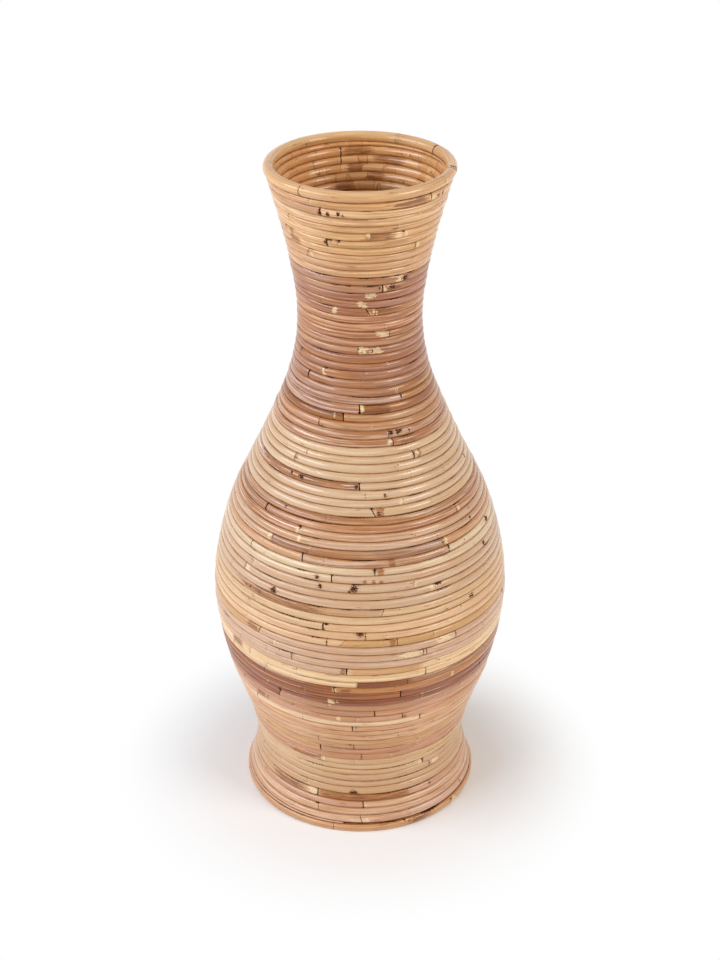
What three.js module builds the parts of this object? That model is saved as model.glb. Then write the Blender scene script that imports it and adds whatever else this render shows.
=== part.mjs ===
// Coiled rattan floor vase: one spiral of round canes, wound from a level foot hoop up to
// a thicker rim hoop, with a plywood panel let into the foot. Millimetres, +Z up, origin
// at the middle of the foot, on the floor. The front of the vase looks along -Y.
import * as THREE from 'three';

// Outside sizes of the vase
const height = 800;
const mouthDiameter = 209.4;
const throatDiameter = 161.4;
const throatHeight = 704;
const neckDiameter = 140.4;
const neckHeight = 626;
const lowerNeckDiameter = 158;
const lowerNeckHeight = 560;
const shoulderDiameter = 220;
const shoulderHeight = 480;
const upperBellyDiameter = 313.4;
const upperBellyHeight = 376;
const bellyDiameter = 348.6;
const bellyHeight = 278;
const lowerBellyDiameter = 323;
const lowerBellyHeight = 190;
const underBellyDiameter = 271;
const underBellyHeight = 110;
const waistDiameter = 255.8;
const waistHeight = 64;
const instepDiameter = 267.2;
const instepHeight = 30;
const footDiameter = 284;

// The canes
const caneDepth = 9.4;          // wall thickness, from the inner to the outer crest
const caneThickness = 8.95;     // from one course to the next
const rimCaneThickness = 12;
const rimSides = 8;
const touchGap = 0.5;           // between canes that touch on the real vase
const jointGap = 0.3;           // between two cane ends that meet
const tipThickness = 1;         // blunt tip of the planed first and last turn
const seatWidth = 5;            // where a cane is pressed flat against the next course
const stepsPerTurn = 18;        // even, so that the box stays round the axis
const jointSnap = 0.35;         // share of a step within which a joint moves onto the step
const firstTipAngle = -8.6;     // degrees right of the front, where the spiral starts
const lastTipAngle = 67;        // where it ends, under the rim hoop

// The foot panel
const panelThickness = 6;
const panelGap = 0.4;

// The finish of the canes, by the band of the vase that they lie in
const tones = {
  tan: { color: 0xc99c78, roughness: 0.42 },
  bark: { color: 0xbe9068, roughness: 0.5 },
  straw: { color: 0xd9b792, roughness: 0.4 },
  brown: { color: 0xa77355, roughness: 0.42 },
  rosy: { color: 0xbe8c6a, roughness: 0.42 },
  golden: { color: 0xcb9e72, roughness: 0.4 },
  honey: { color: 0xd3a778, roughness: 0.38 },
  plywood: { color: 0xc8a67c, roughness: 0.75 },
};

// The canes of the wall from the foot up: name, tone, the turn of the spiral at which the
// cane ends, and the slant of that cut in degrees. The whole number of an end counts
// turns, and its fraction says where round the vase it lies.
const wallCanes = [
  ['foot_cane_1', 'tan', 1.133, 20],
  ['foot_cane_2', 'tan', 2.196, 0],
  ['foot_cane_3', 'tan', 3.13, 0],
  ['foot_cane_4', 'tan', 4.199, 0],
  ['waist_cane_1', 'straw', 8.035, 0],
  ['waist_cane_2', 'straw', 10.193, 0],
  ['under_belly_cane_1', 'tan', 12.19, 0],
  ['under_belly_cane_2', 'tan', 14.19, 0],
  ['under_belly_cane_3', 'tan', 17.144, 0],
  ['under_belly_cane_4', 'tan', 18.061, 0],
  ['under_belly_cane_pale', 'straw', 18.5, 0],
  ['under_belly_cane_5', 'tan', 20.118, 0],
  ['under_belly_cane_6', 'tan', 21.232, 0],
  ['dark_cane_1', 'brown', 23.09, 0],
  ['dark_cane_2', 'brown', 23.667, 0],
  ['dark_cane_golden', 'golden', 24.163, 0],
  ['dark_cane_3', 'brown', 25.137, 0],
  ['low_straw_cane_1', 'straw', 27.149, 0],
  ['low_straw_cane_2', 'straw', 30.25, 0],
  ['low_straw_cane_3', 'straw', 31.154, -45],
  ['low_straw_cane_4', 'straw', 33.174, 0],
  ['low_straw_cane_5', 'straw', 35.111, -27],
  ['low_straw_cane_6', 'straw', 39.167, 0],
  ['low_straw_cane_7', 'straw', 41.022, 0],
  ['belly_cane_1', 'rosy', 41.204, 0],
  ['belly_cane_tan_1', 'tan', 42.026, 0],
  ['belly_cane_2', 'rosy', 42.25, 0],
  ['belly_cane_tan_2', 'tan', 44.214, 0],
  ['belly_cane_3', 'rosy', 45.275, 0],
  ['belly_cane_4', 'rosy', 46.833, 0],
  ['high_straw_cane_1', 'straw', 47.117, 30],
  ['high_straw_cane_2', 'straw', 50.136, 0],
  ['high_straw_cane_bark', 'bark', 50.55, 0],
  ['high_straw_cane_3', 'straw', 53.04, 0],
  ['high_straw_cane_4', 'straw', 54.88, 0],
  ['shoulder_cane_1', 'rosy', 55.074, 0],
  ['shoulder_cane_2', 'rosy', 56.6, 0],
  ['shoulder_cane_golden', 'golden', 58.169, 0],
  ['shoulder_cane_3', 'rosy', 59.136, 0],
  ['shoulder_cane_4', 'rosy', 61.05, 0],
  ['neck_cane_1', 'rosy', 62.27, 0],
  ['neck_cane_2', 'rosy', 66.14, 0],
  ['neck_cane_3', 'rosy', 68.06, 0],
  ['neck_cane_4', 'rosy', 71.115, 0],
  ['neck_cane_5', 'rosy', 74.083, 0],
  ['neck_cane_6', 'rosy', 75.55, 0],
  ['throat_cane_1', 'honey', 78.25, 0],
  ['throat_cane_2', 'honey', 80.2, 0],
  ['throat_cane_3', 'honey', 82.285, 0],
  ['throat_cane_4', 'honey', 84.205, 0],
  ['throat_cane_5', 'honey', 85.0, 0],
  ['throat_cane_tip', 'honey', 85.95, 0],
];

// The canes of the two level hoops, going round clockwise as seen from above: name, the
// angle right of the front at which the cane ends, and the slant of that cut in degrees
const rimCaneAngles = [
  ['rim_cane_front', -38, 0],
  ['rim_cane_left', -86, 35],
  ['rim_cane_back', -239, 15],
  ['rim_cane_right', -280, 60],
];
const footHoopAngles = [
  ['foot_hoop_front', -13, 20],
  ['foot_hoop_back', -170, 20],
];

// The middle of the wall, from the foot hoop's middle to the rim hoop's middle, as a
// smooth curve in the plane of radius and height
const crest = caneDepth / 2;
const seat = seatWidth / 2;
const wallCurve = new THREE.CatmullRomCurve3([
  new THREE.Vector3(footDiameter / 2 - crest, 0, caneThickness / 2),
  new THREE.Vector3(instepDiameter / 2 - crest, 0, instepHeight),
  new THREE.Vector3(waistDiameter / 2 - crest, 0, waistHeight),
  new THREE.Vector3(underBellyDiameter / 2 - crest, 0, underBellyHeight),
  new THREE.Vector3(lowerBellyDiameter / 2 - crest, 0, lowerBellyHeight),
  new THREE.Vector3(bellyDiameter / 2 - crest, 0, bellyHeight),
  new THREE.Vector3(upperBellyDiameter / 2 - crest, 0, upperBellyHeight),
  new THREE.Vector3(shoulderDiameter / 2 - crest, 0, shoulderHeight),
  new THREE.Vector3(lowerNeckDiameter / 2 - crest, 0, lowerNeckHeight),
  new THREE.Vector3(neckDiameter / 2 - crest, 0, neckHeight),
  new THREE.Vector3(throatDiameter / 2 - crest, 0, throatHeight),
  new THREE.Vector3((mouthDiameter - rimCaneThickness) / 2, 0, height - rimCaneThickness / 2),
], false, 'centripetal');
wallCurve.arcLengthDivisions = 4000;
const wallLength = wallCurve.getLength();

// A point of the wall: along its middle curve by a length from the foot hoop, and off it
// towards the outside
function wallPoint(along, outward) {
  const share = along / wallLength;
  const middle = wallCurve.getPointAt(share);
  const tangent = wallCurve.getTangentAt(share);
  return { radius: middle.x + outward * tangent.z, z: middle.z - outward * tangent.x };
}

// Where the spiral lies along the wall: its first course on the foot hoop and its last
// clear of the rim hoop's corners, whichever way the wall leans there
const rimReach = rimCaneThickness / 2 / Math.cos(Math.PI / rimSides);
const spiralBottom = caneThickness / 2 + touchGap / 2;
const spiralTop = wallLength - rimReach - touchGap / 2;

// The spiral climbs clockwise as seen from above, one course a turn. Both of its ends are
// planed to a long wedge, so that it starts and ends level.
const tipTurn = (tipThickness + touchGap) / (caneThickness + touchGap);
const startAngle = firstTipAngle + 360 * tipTurn;
const partTurn = (startAngle - lastTipAngle) / 360 + tipTurn;
const courses = Math.floor(
  (spiralTop - spiralBottom) / (caneThickness + touchGap) - partTurn) + partTurn;
const pitch = (spiralTop - spiralBottom) / courses;
const firstTurn = (tipThickness + touchGap) / pitch;
const lastTurn = courses + 1 - firstTurn;
const listedTurns = wallCanes[wallCanes.length - 1][2];
const turnScale = lastTurn / listedTurns;

// A cane's six corners where the spiral has made some number of turns
function caneSection(turn) {
  const low = spiralBottom + Math.max(0, pitch * (turn - 1)) + touchGap / 2;
  const high = Math.min(spiralBottom + pitch * turn, spiralTop) - touchGap / 2;
  const middle = (low + high) / 2;
  return [
    wallPoint(middle, crest),
    wallPoint(high, seat),
    wallPoint(high, -seat),
    wallPoint(middle, -crest),
    wallPoint(low, -seat),
    wallPoint(low, seat),
  ];
}

// Every turn is a polygon of straight stretches. Its corners stand as far outside the true
// circle as the middles of its stretches lie inside it.
const cornerSwell = 2 / (1 + Math.cos(Math.PI / stepsPerTurn));

// A corner of a section, turned to its place round the vase: 0 degrees is the front and
// the angle grows to the right
function placed(corner, degrees) {
  const angle = THREE.MathUtils.degToRad(degrees - 90);
  const radius = corner.radius * cornerSwell;
  return new THREE.Vector3(radius * Math.cos(angle), radius * Math.sin(angle), corner.z);
}

// A ring of corners at any turn. Between two steps it lies on the straight stretch that
// joins them, so that the flats of all the courses stay in line. A slanted ring turns its
// corners on by their place in the section, over the top or towards the outside.
function ringAt(section, angleOf, turn, slant) {
  const corners = section(turn).length;
  const ring = [];
  for (let k = 0; k < corners; k += 1) {
    const place = 2 * Math.PI * k / corners;
    const shift = slant.top * Math.sin(place) + slant.outside * Math.cos(place);
    const steps = (turn + shift) * stepsPerTurn;
    const before = Math.floor(steps + 1e-9);
    const share = steps - before;
    const from = placed(section(before / stepsPerTurn)[k], angleOf(before / stepsPerTurn));
    const to = placed(
      section((before + 1) / stepsPerTurn)[k], angleOf((before + 1) / stepsPerTurn));
    ring.push(from.lerp(to, share));
  }
  return ring;
}

// A closed tube through rings of corners, with both ends capped. The corners run from the
// outer crest over the top to the inside, and the rings clockwise as seen from above.
function tubeGeometry(rings) {
  const corners = rings[0].length;
  const positions = rings.flat().flatMap((p) => [p.x, p.y, p.z]);
  const triangles = [];
  for (let i = 0; i + 1 < rings.length; i += 1) {
    for (let k = 0; k < corners; k += 1) {
      const a = i * corners + k;
      const b = i * corners + (k + 1) % corners;
      triangles.push(a, b, a + corners);
      triangles.push(b, b + corners, a + corners);
    }
  }
  const last = (rings.length - 1) * corners;
  for (let k = 1; k + 1 < corners; k += 1) {
    triangles.push(0, k + 1, k);
    triangles.push(last, last + k, last + k + 1);
  }
  const geometry = new THREE.BufferGeometry();
  geometry.setAttribute('position', new THREE.Float32BufferAttribute(positions, 3));
  geometry.setIndex(triangles);
  geometry.computeVertexNormals();
  return geometry;
}

// The slant of a cane's cut, in turns from its middle to its edge
const square = { top: 0, outside: 0 };
const reachOf = (slant) => Math.abs(slant.top) + Math.abs(slant.outside);
function slantTurns(degrees, halfCane, radius) {
  return Math.tan(THREE.MathUtils.degToRad(degrees)) * halfCane / (2 * Math.PI * radius);
}

// The rings of a cane between two turns, with its ends cut back for the joint gap
function caneRings(section, angleOf, from, to, slantFrom, slantTo) {
  const cutBack = (turn) => jointGap / 2 / (2 * Math.PI * section(turn)[0].radius);
  const start = from + cutBack(from);
  const end = to - cutBack(to);
  const first = Math.floor((start + reachOf(slantFrom)) * stepsPerTurn) + 1;
  const last = Math.ceil((end - reachOf(slantTo)) * stepsPerTurn) - 1;
  const rings = [ringAt(section, angleOf, start, slantFrom)];
  for (let step = first; step <= last; step += 1) {
    rings.push(ringAt(section, angleOf, step / stepsPerTurn, square));
  }
  rings.push(ringAt(section, angleOf, end, slantTo));
  return rings;
}

// A square joint close to a step is moved onto it and a slanted one clear of it, so that
// no face is a sliver and no cut goes across a corner of the polygon
function settled(turn, slant) {
  const steps = turn * stepsPerTurn;
  const nearest = Math.round(steps);
  const reach = reachOf(slant) * stepsPerTurn;
  if (reach === 0) {
    return Math.abs(steps - nearest) < jointSnap ? nearest / stepsPerTurn : turn;
  }
  const side = steps < nearest ? -1 : 1;
  const clear = Math.max(Math.abs(steps - nearest), reach + jointSnap / 4);
  return (nearest + side * clear) / stepsPerTurn;
}

function material(tone) {
  return new THREE.MeshStandardMaterial({ ...tones[tone], metalness: 0 });
}

const vase = new THREE.Group();

function addPiece(name, tone, geometry) {
  const piece = new THREE.Mesh(geometry, material(tone));
  piece.name = name;
  vase.add(piece);
  return piece;
}

// The wall, cane after cane
const spiralAngle = (turn) => startAngle - 360 * turn;
const caneSpans = [];
let caneStart = firstTurn;
let startSlant = square;
for (const [name, tone, listedEnd, slant] of wallCanes) {
  const end = listedEnd * turnScale;
  const radius = caneSection(end)[0].radius;
  const endSlant = { top: slantTurns(slant, caneThickness / 2, radius), outside: 0 };
  const caneEnd = listedEnd === listedTurns ? lastTurn : settled(end, endSlant);
  const rings = caneRings(
    caneSection, spiralAngle, caneStart, caneEnd, startSlant, endSlant);
  addPiece(name, tone, tubeGeometry(rings));
  caneSpans.push({ from: caneStart, to: caneEnd });
  caneStart = caneEnd;
  startSlant = endSlant;
}

// The foot hoop: level, with its underside sanded flat to stand on
function footSection() {
  const middle = wallPoint(0, 0).radius;
  return [
    { radius: middle + crest, z: caneThickness / 2 },
    wallPoint(caneThickness / 2, seat),
    wallPoint(caneThickness / 2, -seat),
    { radius: middle - crest, z: caneThickness / 2 },
    { radius: middle - seat, z: 0 },
    { radius: middle + seat, z: 0 },
  ];
}

// The rim hoop: level, of thicker cane, with a flat at the top and one below
function rimSection() {
  const middle = (mouthDiameter - rimCaneThickness) / 2;
  const corners = [];
  for (let k = 0; k < rimSides; k += 1) {
    const angle = 2 * Math.PI * (k + 1 / 2) / rimSides;
    corners.push({
      radius: middle + rimReach * Math.cos(angle),
      z: height - rimCaneThickness / 2 + rimReach * Math.sin(angle),
    });
  }
  return corners;
}

// The canes of a level hoop, each from the end of the last to its own end
function addHoop(canes, section, tone) {
  const corners = section();
  const outside = corners[0].radius;
  const halfCane = outside - corners.reduce((sum, c) => sum + c.radius, 0) / corners.length;
  const turnOf = (degrees, slant) => settled((startAngle - degrees) / 360, slant);
  const slantOf = (degrees) => ({ top: 0, outside: slantTurns(degrees, halfCane, outside) });
  const [, lastEnd, lastSlant] = canes[canes.length - 1];
  let slantFrom = slantOf(lastSlant);
  let from = turnOf(lastEnd, slantFrom) - 1;
  for (const [name, end, slant] of canes) {
    const slantTo = slantOf(slant);
    const to = turnOf(end, slantTo);
    const rings = caneRings(section, spiralAngle, from, to, slantFrom, slantTo);
    addPiece(name, tone, tubeGeometry(rings));
    from = to;
    slantFrom = slantTo;
  }
}
addHoop(footHoopAngles, footSection, 'tan');
addHoop(rimCaneAngles, rimSection, 'honey');

// The foot panel: a plywood disc flush with the underside of the foot hoop, held from
// above by the first turn of the spiral
const panelRadius = (wallPoint(0, 0).radius - crest - panelGap) * cornerSwell;
const panel = addPiece(
  'foot_panel', 'plywood',
  new THREE.CylinderGeometry(panelRadius, panelRadius, panelThickness, stepsPerTurn));
panel.rotation.set(Math.PI / 2, THREE.MathUtils.degToRad(startAngle), 0);
panel.position.z = panelThickness / 2;

// The least gap between one turn of a cane and its own next turn, on points of their
// facing corners
function leastOwnGap(from, to) {
  let least = Infinity;
  for (let step = Math.ceil(from * stepsPerTurn); step / stepsPerTurn + 1 <= to; step += 1) {
    const turn = step / stepsPerTurn;
    const below = caneSection(turn);
    const above = caneSection(turn + 1);
    for (const [upper, lower] of [[1, 5], [2, 4]]) {
      const gap = Math.hypot(
        above[lower].radius - below[upper].radius, above[lower].z - below[upper].z);
      least = Math.min(least, gap);
    }
  }
  return least;
}
const leastGap = Math.min(...caneSpans.map((span) => leastOwnGap(span.from, span.to)));
console.log(`pitch ${pitch.toFixed(3)} mm, ${lastTurn.toFixed(2)} turns,`,
  `least gap of a cane to itself ${leastGap.toFixed(3)} mm`);

export default vase;
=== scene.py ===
# Coiled rattan floor vase, dressed around its fixed frame. Metres, +Z up, the floor at
# z = 0, and the front of the vase looks along -Y.
import bisect
import math
import random

import bmesh
import bpy
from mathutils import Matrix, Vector, noise


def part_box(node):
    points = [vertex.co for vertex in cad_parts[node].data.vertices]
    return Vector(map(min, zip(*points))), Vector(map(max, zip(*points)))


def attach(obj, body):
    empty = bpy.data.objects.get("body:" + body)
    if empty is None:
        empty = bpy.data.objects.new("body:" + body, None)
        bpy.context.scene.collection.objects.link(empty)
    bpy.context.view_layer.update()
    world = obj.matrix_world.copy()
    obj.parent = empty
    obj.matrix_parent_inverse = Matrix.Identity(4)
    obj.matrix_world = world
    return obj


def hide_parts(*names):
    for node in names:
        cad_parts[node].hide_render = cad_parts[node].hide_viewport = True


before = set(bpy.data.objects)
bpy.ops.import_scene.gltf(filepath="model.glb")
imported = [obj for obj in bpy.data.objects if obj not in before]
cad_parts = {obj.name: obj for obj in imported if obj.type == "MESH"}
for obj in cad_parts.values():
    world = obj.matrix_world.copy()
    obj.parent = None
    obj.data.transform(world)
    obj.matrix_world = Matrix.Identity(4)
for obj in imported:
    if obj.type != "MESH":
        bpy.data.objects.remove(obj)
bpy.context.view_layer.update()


# The foot hoop
# A level ring of two bent rattan canes, joined end to end, with its underside sanded flat.
# Rattan is a solid vine with a glossy skin, and here it has two thin coats of clear
# lacquer. The first turn of the wall is glued and bradded to the hoop.
MM = 0.001
CANE_DEPTH = 9.4
CANE_THICKNESS = 8.95
TOUCH_GAP = 0.5              # that the fixed frame keeps between courses, closed here
FOOT_DIAMETER = 284.0
FOOT_BOW = 0.15              # of the foot hoop, in or out
FOOT_OVERLAP = 0.8           # of the foot hoop into the first course, and as much is sanded off
SIDES = 16                   # of the section of a cane
FLATNESS = 0.76              # 1 for a round section, less for a squarer one
RING_STEP = 4.0              # between two rings of a plain stretch of cane
START_ANGLE = 48.5           # degrees right of the front where the spiral counts turn 0
SLANT_REACH = 16.0           # over which the slant of a cane's end dies out
LEAST_STEP = 0.2             # between two rings
END_CLEARANCE = 0.3          # of a rounded end from the nearest plain ring
MARK_REACH = (12, 1.1)       # of a mark from its middle: so far, and so many times its size
SEAM_GIRTH = 0.030           # metres round a cane, as its UV map counts it


def linear(code):
    """The linear colour of an sRGB hex value."""
    channels = [int(code[i:i + 2], 16) / 255 for i in (0, 2, 4)]
    return [c / 12.92 if c <= 0.04045 else ((c + 0.055) / 1.055) ** 2.4
            for c in channels] + [1.0]


def add_node(tree, kind, inputs=(), out=0, **settings):
    """A new node with its settings. Its inputs are values or outputs of other nodes, and it
    gives back one of its own outputs."""
    node = tree.nodes.new("ShaderNode" + kind)
    for setting, value in settings.items():
        setattr(node, setting, value)
    for socket, value in inputs.items() if isinstance(inputs, dict) else enumerate(inputs):
        if isinstance(value, bpy.types.NodeSocket):
            tree.links.new(value, node.inputs[socket])
        else:
            node.inputs[socket].default_value = value
    return node.outputs[out] if node.outputs else None


def new_finish(name):
    """An empty material and its node tree."""
    material = bpy.data.materials.new(name)
    material.use_nodes = True
    material.node_tree.nodes.clear()
    return material, material.node_tree


def rattan_finish(name, streak, busy, inside, raw=1.0):
    """Lacquered rattan skin. To the eye: satin gloss with long soft highlights, streaks of a
    second tone that run with the cane, a thin brown line where courses touch that is glue in part
    and painted shade in part, with painted amber shade beside it, ragged bark and scuffs at the
    nodes, and a raw, creased, browner inner side. Busy tells how much of the skin the second tone
    takes, and raw how bare the inner side is."""
    material, tree = new_finish(name)
    cane = add_node(tree, "UVMap", uv_map="cane")
    skin = add_node(tree, "Attribute", attribute_name="skin")
    marks = add_node(tree, "Attribute", attribute_name="marks")
    seat = add_node(tree, "Attribute", out="Alpha", attribute_name="marks")
    bark = add_node(tree, "SeparateColor", [marks], 0)
    pale = add_node(tree, "SeparateColor", [marks], 1)
    scar_and_seam_shade = add_node(tree, "SeparateColor", [marks], 2)

    def grain(along, around, detail, offset):
        """Noise whose features are so many millimetres long and wide on the cane."""
        per_metre = (1000 / along, 1000 / around, 1)
        place = add_node(tree, "Mapping", {0: cane, 1: (offset, offset, 0), 3: per_metre})
        return add_node(
            tree, "TexNoise", {"Vector": place, "Scale": 1.0, "Detail": detail, "Roughness": 0.6},
            noise_dimensions="2D")

    def between(source, low, high, bottom, top):
        """The source from low to high, turned smoothly into bottom to top."""
        return add_node(
            tree, "MapRange", (source, low, high, bottom, top), interpolation_type="SMOOTHSTEP")

    def covered(colour, share, cover):
        """The colour with a share of it covered by another, a hex value or a node's output."""
        cover = linear(cover) if isinstance(cover, str) else cover
        return add_node(tree, "Mix", {0: share, 6: colour, 7: cover}, 2, data_type="RGBA")

    tint = grain(420, 60, 1, 2.2)
    bands = grain(120, 2.2, 2, 3.1)
    streaks = grain(40, 1.1, 3, 7.7)
    fibres = grain(28, 0.9, 2, 1.9)       # 0.3 wide on the real cane, and coarser here to show
    ribs = grain(1.6, 9, 2, 5.3)
    flecks = grain(5.5, 1.5, 3, 9.1)
    specks = grain(1.9, 1.2, 2, 12.4)
    stains = grain(30, 3, 3, 6.6)
    patches = grain(19, 60, 1, 4.4)
    gilding = grain(110, 6, 2, 14.7)

    # Where on the section: out is 1 at the outer crest and -1 at the inner one
    across = add_node(tree, "SeparateXYZ", [cane], 1)
    turned = add_node(tree, "Math", (across, 2 * math.pi / SEAM_GIRTH), operation="MULTIPLY")
    out = add_node(tree, "Math", [turned], operation="SINE")
    inner = between(out, 0.15, -0.4, 0.0, raw)

    # Skin: long bands and finer streaks of the second tone on a tone that drifts slowly, and
    # here and there the tone of the inner side
    colour = covered(skin, between(tint, 0.35, 0.75, 0.0, 0.3 * busy), streak)
    colour = covered(colour, between(bands, 0.46, 0.57, 0.0, 0.72 * busy), streak)
    colour = covered(colour, between(streaks, 0.52, 0.64, 0.0, 0.55 * busy), streak)
    colour = covered(colour, between(gilding, 0.48, 0.6, 0.0, 0.45 * busy), inside)
    fibred = add_node(tree, "MapRange", (fibres, 0.35, 0.7, 1 - 0.14 * busy, 1 + 0.12 * busy))
    ribbed = add_node(tree, "MapRange", (ribs, 0.3, 0.7, 0.98, 1.02))
    value = add_node(tree, "Math", (fibred, ribbed), operation="MULTIPLY")

    # Inner side: bare of its skin, in patches between cracks that cross the cane
    patched = add_node(tree, "MapRange", (patches, 0.48, 0.52, 0.55, 1.0))
    bare = add_node(tree, "Math", (patched, inner), operation="MULTIPLY")
    colour = covered(colour, bare, inside)
    offset = add_node(tree, "Math", (patches, 0.5), operation="SUBTRACT")
    offset = add_node(tree, "Math", [offset], operation="ABSOLUTE")
    creased = add_node(tree, "MapRange", (offset, 0.013, 0.0, 0.0, 0.7))
    creased = add_node(tree, "Math", (creased, inner), operation="MULTIPLY")
    colour = covered(colour, creased, "7a4420")
    colour = add_node(
        tree, "HueSaturation", {"Saturation": 1.08, "Value": value, "Color": colour})

    # Groove: painted shade turns the skin amber towards it, with stains and dark dashes, and the
    # line of touch itself is brown, glue in part and painted shade in part, and painted black in
    # some stretches as shade in an open gap
    # Painted shade: the skin turns amber towards the groove
    amber_shade = between(seat, 0.5, 0.97, 0.0, 0.34)
    colour = covered(colour, amber_shade, "ad6830")
    edge = add_node(tree, "MapRange", (seat, 0.4, 0.95, 0.0, 0.15))
    stained = add_node(tree, "Math", (stains, edge), operation="ADD")
    colour = covered(colour, between(stained, 0.68, 0.76, 0.0, 0.6), "8f5526")
    dashed = add_node(tree, "Math", (streaks, edge), operation="ADD")
    dash = between(dashed, 0.79 - 0.04 * busy, 0.85 - 0.04 * busy, 0.0, 0.75)
    colour = covered(colour, dash, "5a2d12")
    # The line of touch: glue in part, and in part painted shade in the crease between courses,
    # stronger in some stretches
    line_strength = add_node(tree, "MapRange", (bands, 0.42, 0.58, 0.25, 0.85))
    line = add_node(
        tree, "Math", (line_strength, between(seat, 0.83, 0.93, 0.0, 1.0)), operation="MULTIPLY")
    colour = covered(colour, line, "8a4a1c")
    # Painted shade: near-black stretches of the line where the gap between courses stands open
    open_gap_shade = between(stains, 0.58, 0.66, 0.0, 1.0)
    narrow = add_node(tree, "MapRange", (seat, 0.86, 0.905))
    gap_shade = add_node(tree, "Math", (open_gap_shade, narrow), operation="MULTIPLY")

    # Marks: bark left on, scuffs down to the pale wood, and dark scars, which at the seams are
    # painted shade, all with ragged edges
    ragged = add_node(tree, "Math", (streaks, 2.0, bark), operation="MULTIPLY_ADD")
    barked = between(ragged, 1.52, 1.68, 0.0, 0.85)
    left_on = covered(linear("bd7a3a"), between(stains, 0.42, 0.58, 0.0, 0.8), "8a4e20")
    left_on = covered(left_on, between(fibres, 0.48, 0.56, 0.0, 0.75), "5e300c")
    colour = covered(colour, barked, left_on)
    ragged = add_node(tree, "Math", (flecks, 2.0, pale), operation="MULTIPLY_ADD")
    scuffed = between(ragged, 1.5, 1.64, 0.0, 0.85)
    grazed = add_node(tree, "MapRange", (fibres, 0.42, 0.56, 0.55, 1.0))
    scuffed = add_node(tree, "Math", (scuffed, grazed), operation="MULTIPLY")
    colour = covered(colour, scuffed, "f2d8a6")
    ragged = add_node(tree, "Math", (specks, 2.2, scar_and_seam_shade), operation="MULTIPLY_ADD")
    scarred_and_gap_shade = between(ragged, 1.66, 1.8, 0.0, 1.0)
    # The scars take in the painted shade of the open gaps
    scarred_and_gap_shade = add_node(tree, "Math", (gap_shade, scarred_and_gap_shade), operation="MAXIMUM")
    colour = covered(colour, scarred_and_gap_shade, "421800")

    # Gloss: satin, less where the skin is scuffed, and none in scars and in the groove
    rough = add_node(tree, "MapRange", (streaks, 0.3, 0.7, 0.36, 0.48))
    rough = add_node(tree, "Math", (scuffed, 0.2, rough), operation="MULTIPLY_ADD")
    rough = add_node(tree, "Math", (scarred_and_gap_shade, 0.4, rough), operation="MULTIPLY_ADD")
    height = add_node(tree, "Math", (ribs, 0.3), operation="MULTIPLY")
    height = add_node(tree, "Math", (fibres, 0.4, height), operation="MULTIPLY_ADD")
    height = add_node(tree, "Math", (scuffed, -1.0, height), operation="MULTIPLY_ADD")
    bump = add_node(
        tree, "Bump", {"Strength": 0.3, "Distance": 0.15 * MM, "Height": height})
    dull = add_node(tree, "Math", (line, scarred_and_gap_shade), operation="MAXIMUM")
    coated = add_node(tree, "MapRange", {0: dull, 3: 0.75, 4: 0.05})
    shader = add_node(
        tree, "BsdfPrincipled",
        {"Base Color": colour, "Roughness": rough, "IOR": 1.5, "Specular IOR Level": 0.25,
         "Normal": bump, "Coat Weight": coated, "Coat Roughness": 0.21})
    add_node(tree, "OutputMaterial", [shader])
    return material


# Where the rings that draw a mark stand from its middle: in millimetres for the first two
# kinds, and in half lengths of the mark for the others
LONG_MARK = (-1.5, -1, -0.5, 0.5, 1, 1.5)
MARK_RINGS = {
    "cut": (-2.4, -1.6, -0.8, 0, 0.8, 1.6, 2.4),
    "node": (-9, -6, -4, -2.5, -1.2, 0, 1.2, 2.5, 4, 6, 9),
    "hole": (-1.5, -1, -0.5, 0, 0.5, 1, 1.5),
    "scuff": (-1.5, -1.2, -0.9, -0.6, -0.3, 0, 0.3, 0.6, 0.9, 1.2, 1.5),
    "bark": LONG_MARK, "crack_and_seam_shade": LONG_MARK, "stain": LONG_MARK,
}
# How far such a mark reaches round the cane, in radians. A hole is as wide as it is long
SPREAD = {"scuff": 0.95, "bark": 1.9, "crack_and_seam_shade": 0.6, "stain": 0.8}
# The rings of a rounded end: the share of the rounding at which one stands, and its size
ROUNDING = ((0.0, 0.0), (0.0, 0.8), (0.25, 0.93), (0.6, 0.985), (1.0, 1.0))
END_RINGS = len(ROUNDING)


def fade(distance, reach):
    """1 in the middle and 0 past the reach, smoothly."""
    share = max(0.0, 1 - abs(distance) / reach)
    return share * share * (3 - 2 * share)


def paint(kind, size, centre, distance, around):
    """What a mark does at one point of a cane: swelling, bark, scuff and scar. The scar of a crack
    is a real crack on the face of a cane, and painted shade where it lies at a seam between
    courses. The angle round the section is 0 at the outer crest and grows over the top. A mark has
    its edge where its share is 0.5, and noise in the material makes that edge ragged."""
    aside = math.remainder(around - centre, 2 * math.pi)
    if kind == "cut":
        line = fade(distance, 1.3)
        return -0.04 * line, 0.45 * fade(distance, 5), 0.0, line
    if kind == "node":
        line = fade(distance, 1.6)
        ragged = 0.5 + noise.noise(Vector((around * 1.7, centre * 9, 0)))
        return (0.03 * fade(distance, 6) - 0.02 * line, 0.4 * fade(distance - 3, 5),
                0.35 * fade(distance + 2, 4), 0.9 * line * ragged)
    spread = SPREAD.get(kind, size / (CANE_DEPTH / 2))
    share = min(1.0, max(0.0, 1.5 - math.hypot(distance / size, aside / spread)))
    if kind == "hole":
        return -0.05 * share, 0.7 * fade(distance, 4 * size) * fade(aside, 1.6), 0.0, share
    if kind == "scuff":
        return -0.02 * share, 0.0, 0.85 * share, 0.0
    # A crack pinches the cane in and darkens it: on the face of a cane a real crack, at a seam
    # painted shade in the slot that opens
    if kind == "crack_and_seam_shade":
        return -0.07 * share, 0.0, 0.0, share
    return 0.0, share, 0.0, 0.0


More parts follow.
